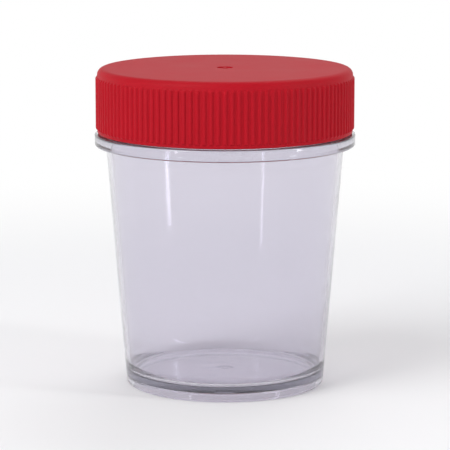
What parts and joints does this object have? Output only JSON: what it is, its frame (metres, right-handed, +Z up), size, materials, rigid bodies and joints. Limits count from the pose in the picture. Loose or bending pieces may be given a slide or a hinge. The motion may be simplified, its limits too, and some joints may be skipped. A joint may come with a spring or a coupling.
{
  "type": "specimen container",
  "caption": "Clear tapering specimen cup with foot ring, stop flange and threaded neck, closed by a finely ribbed red screw cap with a seal ring inside.",
  "frame": {"origin": "centre of the foot ring, in the plane that the cup stands on", "axes": "+Z up the axis of the cup, from the foot ring to the cap; the part is round about it, and the thread on the neck starts over +X"},
  "size_m": [0.0642, 0.0642, 0.0785],
  "materials": {
    "clear_polypropylene": "clear injection-moulded polypropylene, smooth, with a faint haze",
    "red_polyethylene": "saturated red injection-moulded polyethylene, satin gloss"
  },
  "bodies": {
    "cup": {"cup": "clear_polypropylene"},
    "screw_cap": {"screw_cap": "red_polyethylene"}
  },
  "joints": [
    {"name": "cap_lift", "type": "slide", "parent": "cup", "child": "screw_cap", "axis": [0, 0, 1], "range_m": [0, 0.04]}
  ]
}
